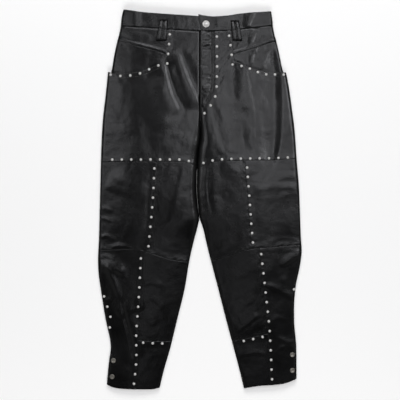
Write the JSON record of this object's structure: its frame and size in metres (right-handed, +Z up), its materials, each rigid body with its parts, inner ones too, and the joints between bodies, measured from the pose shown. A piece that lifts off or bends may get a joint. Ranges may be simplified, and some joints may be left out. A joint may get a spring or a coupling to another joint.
{
  "type": "leather trousers",
  "caption": "High-waisted black leather trousers with tapered legs, studded seams, belt loops and snapped ankles, laid flat with the front up.",
  "frame": {"origin": "under the middle of the garment, on the surface it lies on", "axes": "+Y towards the waist, +X towards the wearer's left, +Z up out of the garment's front"},
  "size_m": [0.5185, 0.9659, 0.0181],
  "materials": {
    "black_leather": "smooth black nappa leather with a soft sheen",
    "polished_metal": "polished silver-coloured metal",
    "aged_metal": "dull nickel-coloured metal"
  },
  "bodies": {
    "root": {"waistband_R": "black_leather", "waistband_L": "black_leather", "waistband_back": "black_leather", "belt_loop_R": "black_leather", "belt_loop_L": "black_leather", "yoke_R": "black_leather", "yoke_L": "black_leather", "pocket_facing_R": "black_leather", "pocket_facing_L": "black_leather", "front_R": "black_leather", "front_L": "black_leather", "thigh_outer_R": "black_leather", "thigh_inner_R": "black_leather", "thigh_inner_L": "black_leather", "thigh_outer_L": "black_leather", "shin_outer_R": "black_leather", "shin_inner_R": "black_leather", "ankle_R": "black_leather", "shin_inner_L": "black_leather", "ankle_L": "black_leather", "shin_outer_L": "black_leather", "back_R": "black_leather", "back_L": "black_leather", "waist_button": "polished_metal", "ankle_snap_R_upper": "aged_metal", "ankle_snap_R_lower": "aged_metal", "ankle_snap_L_upper": "aged_metal", "ankle_snap_L_lower": "aged_metal"}
  },
  "joints": []
}
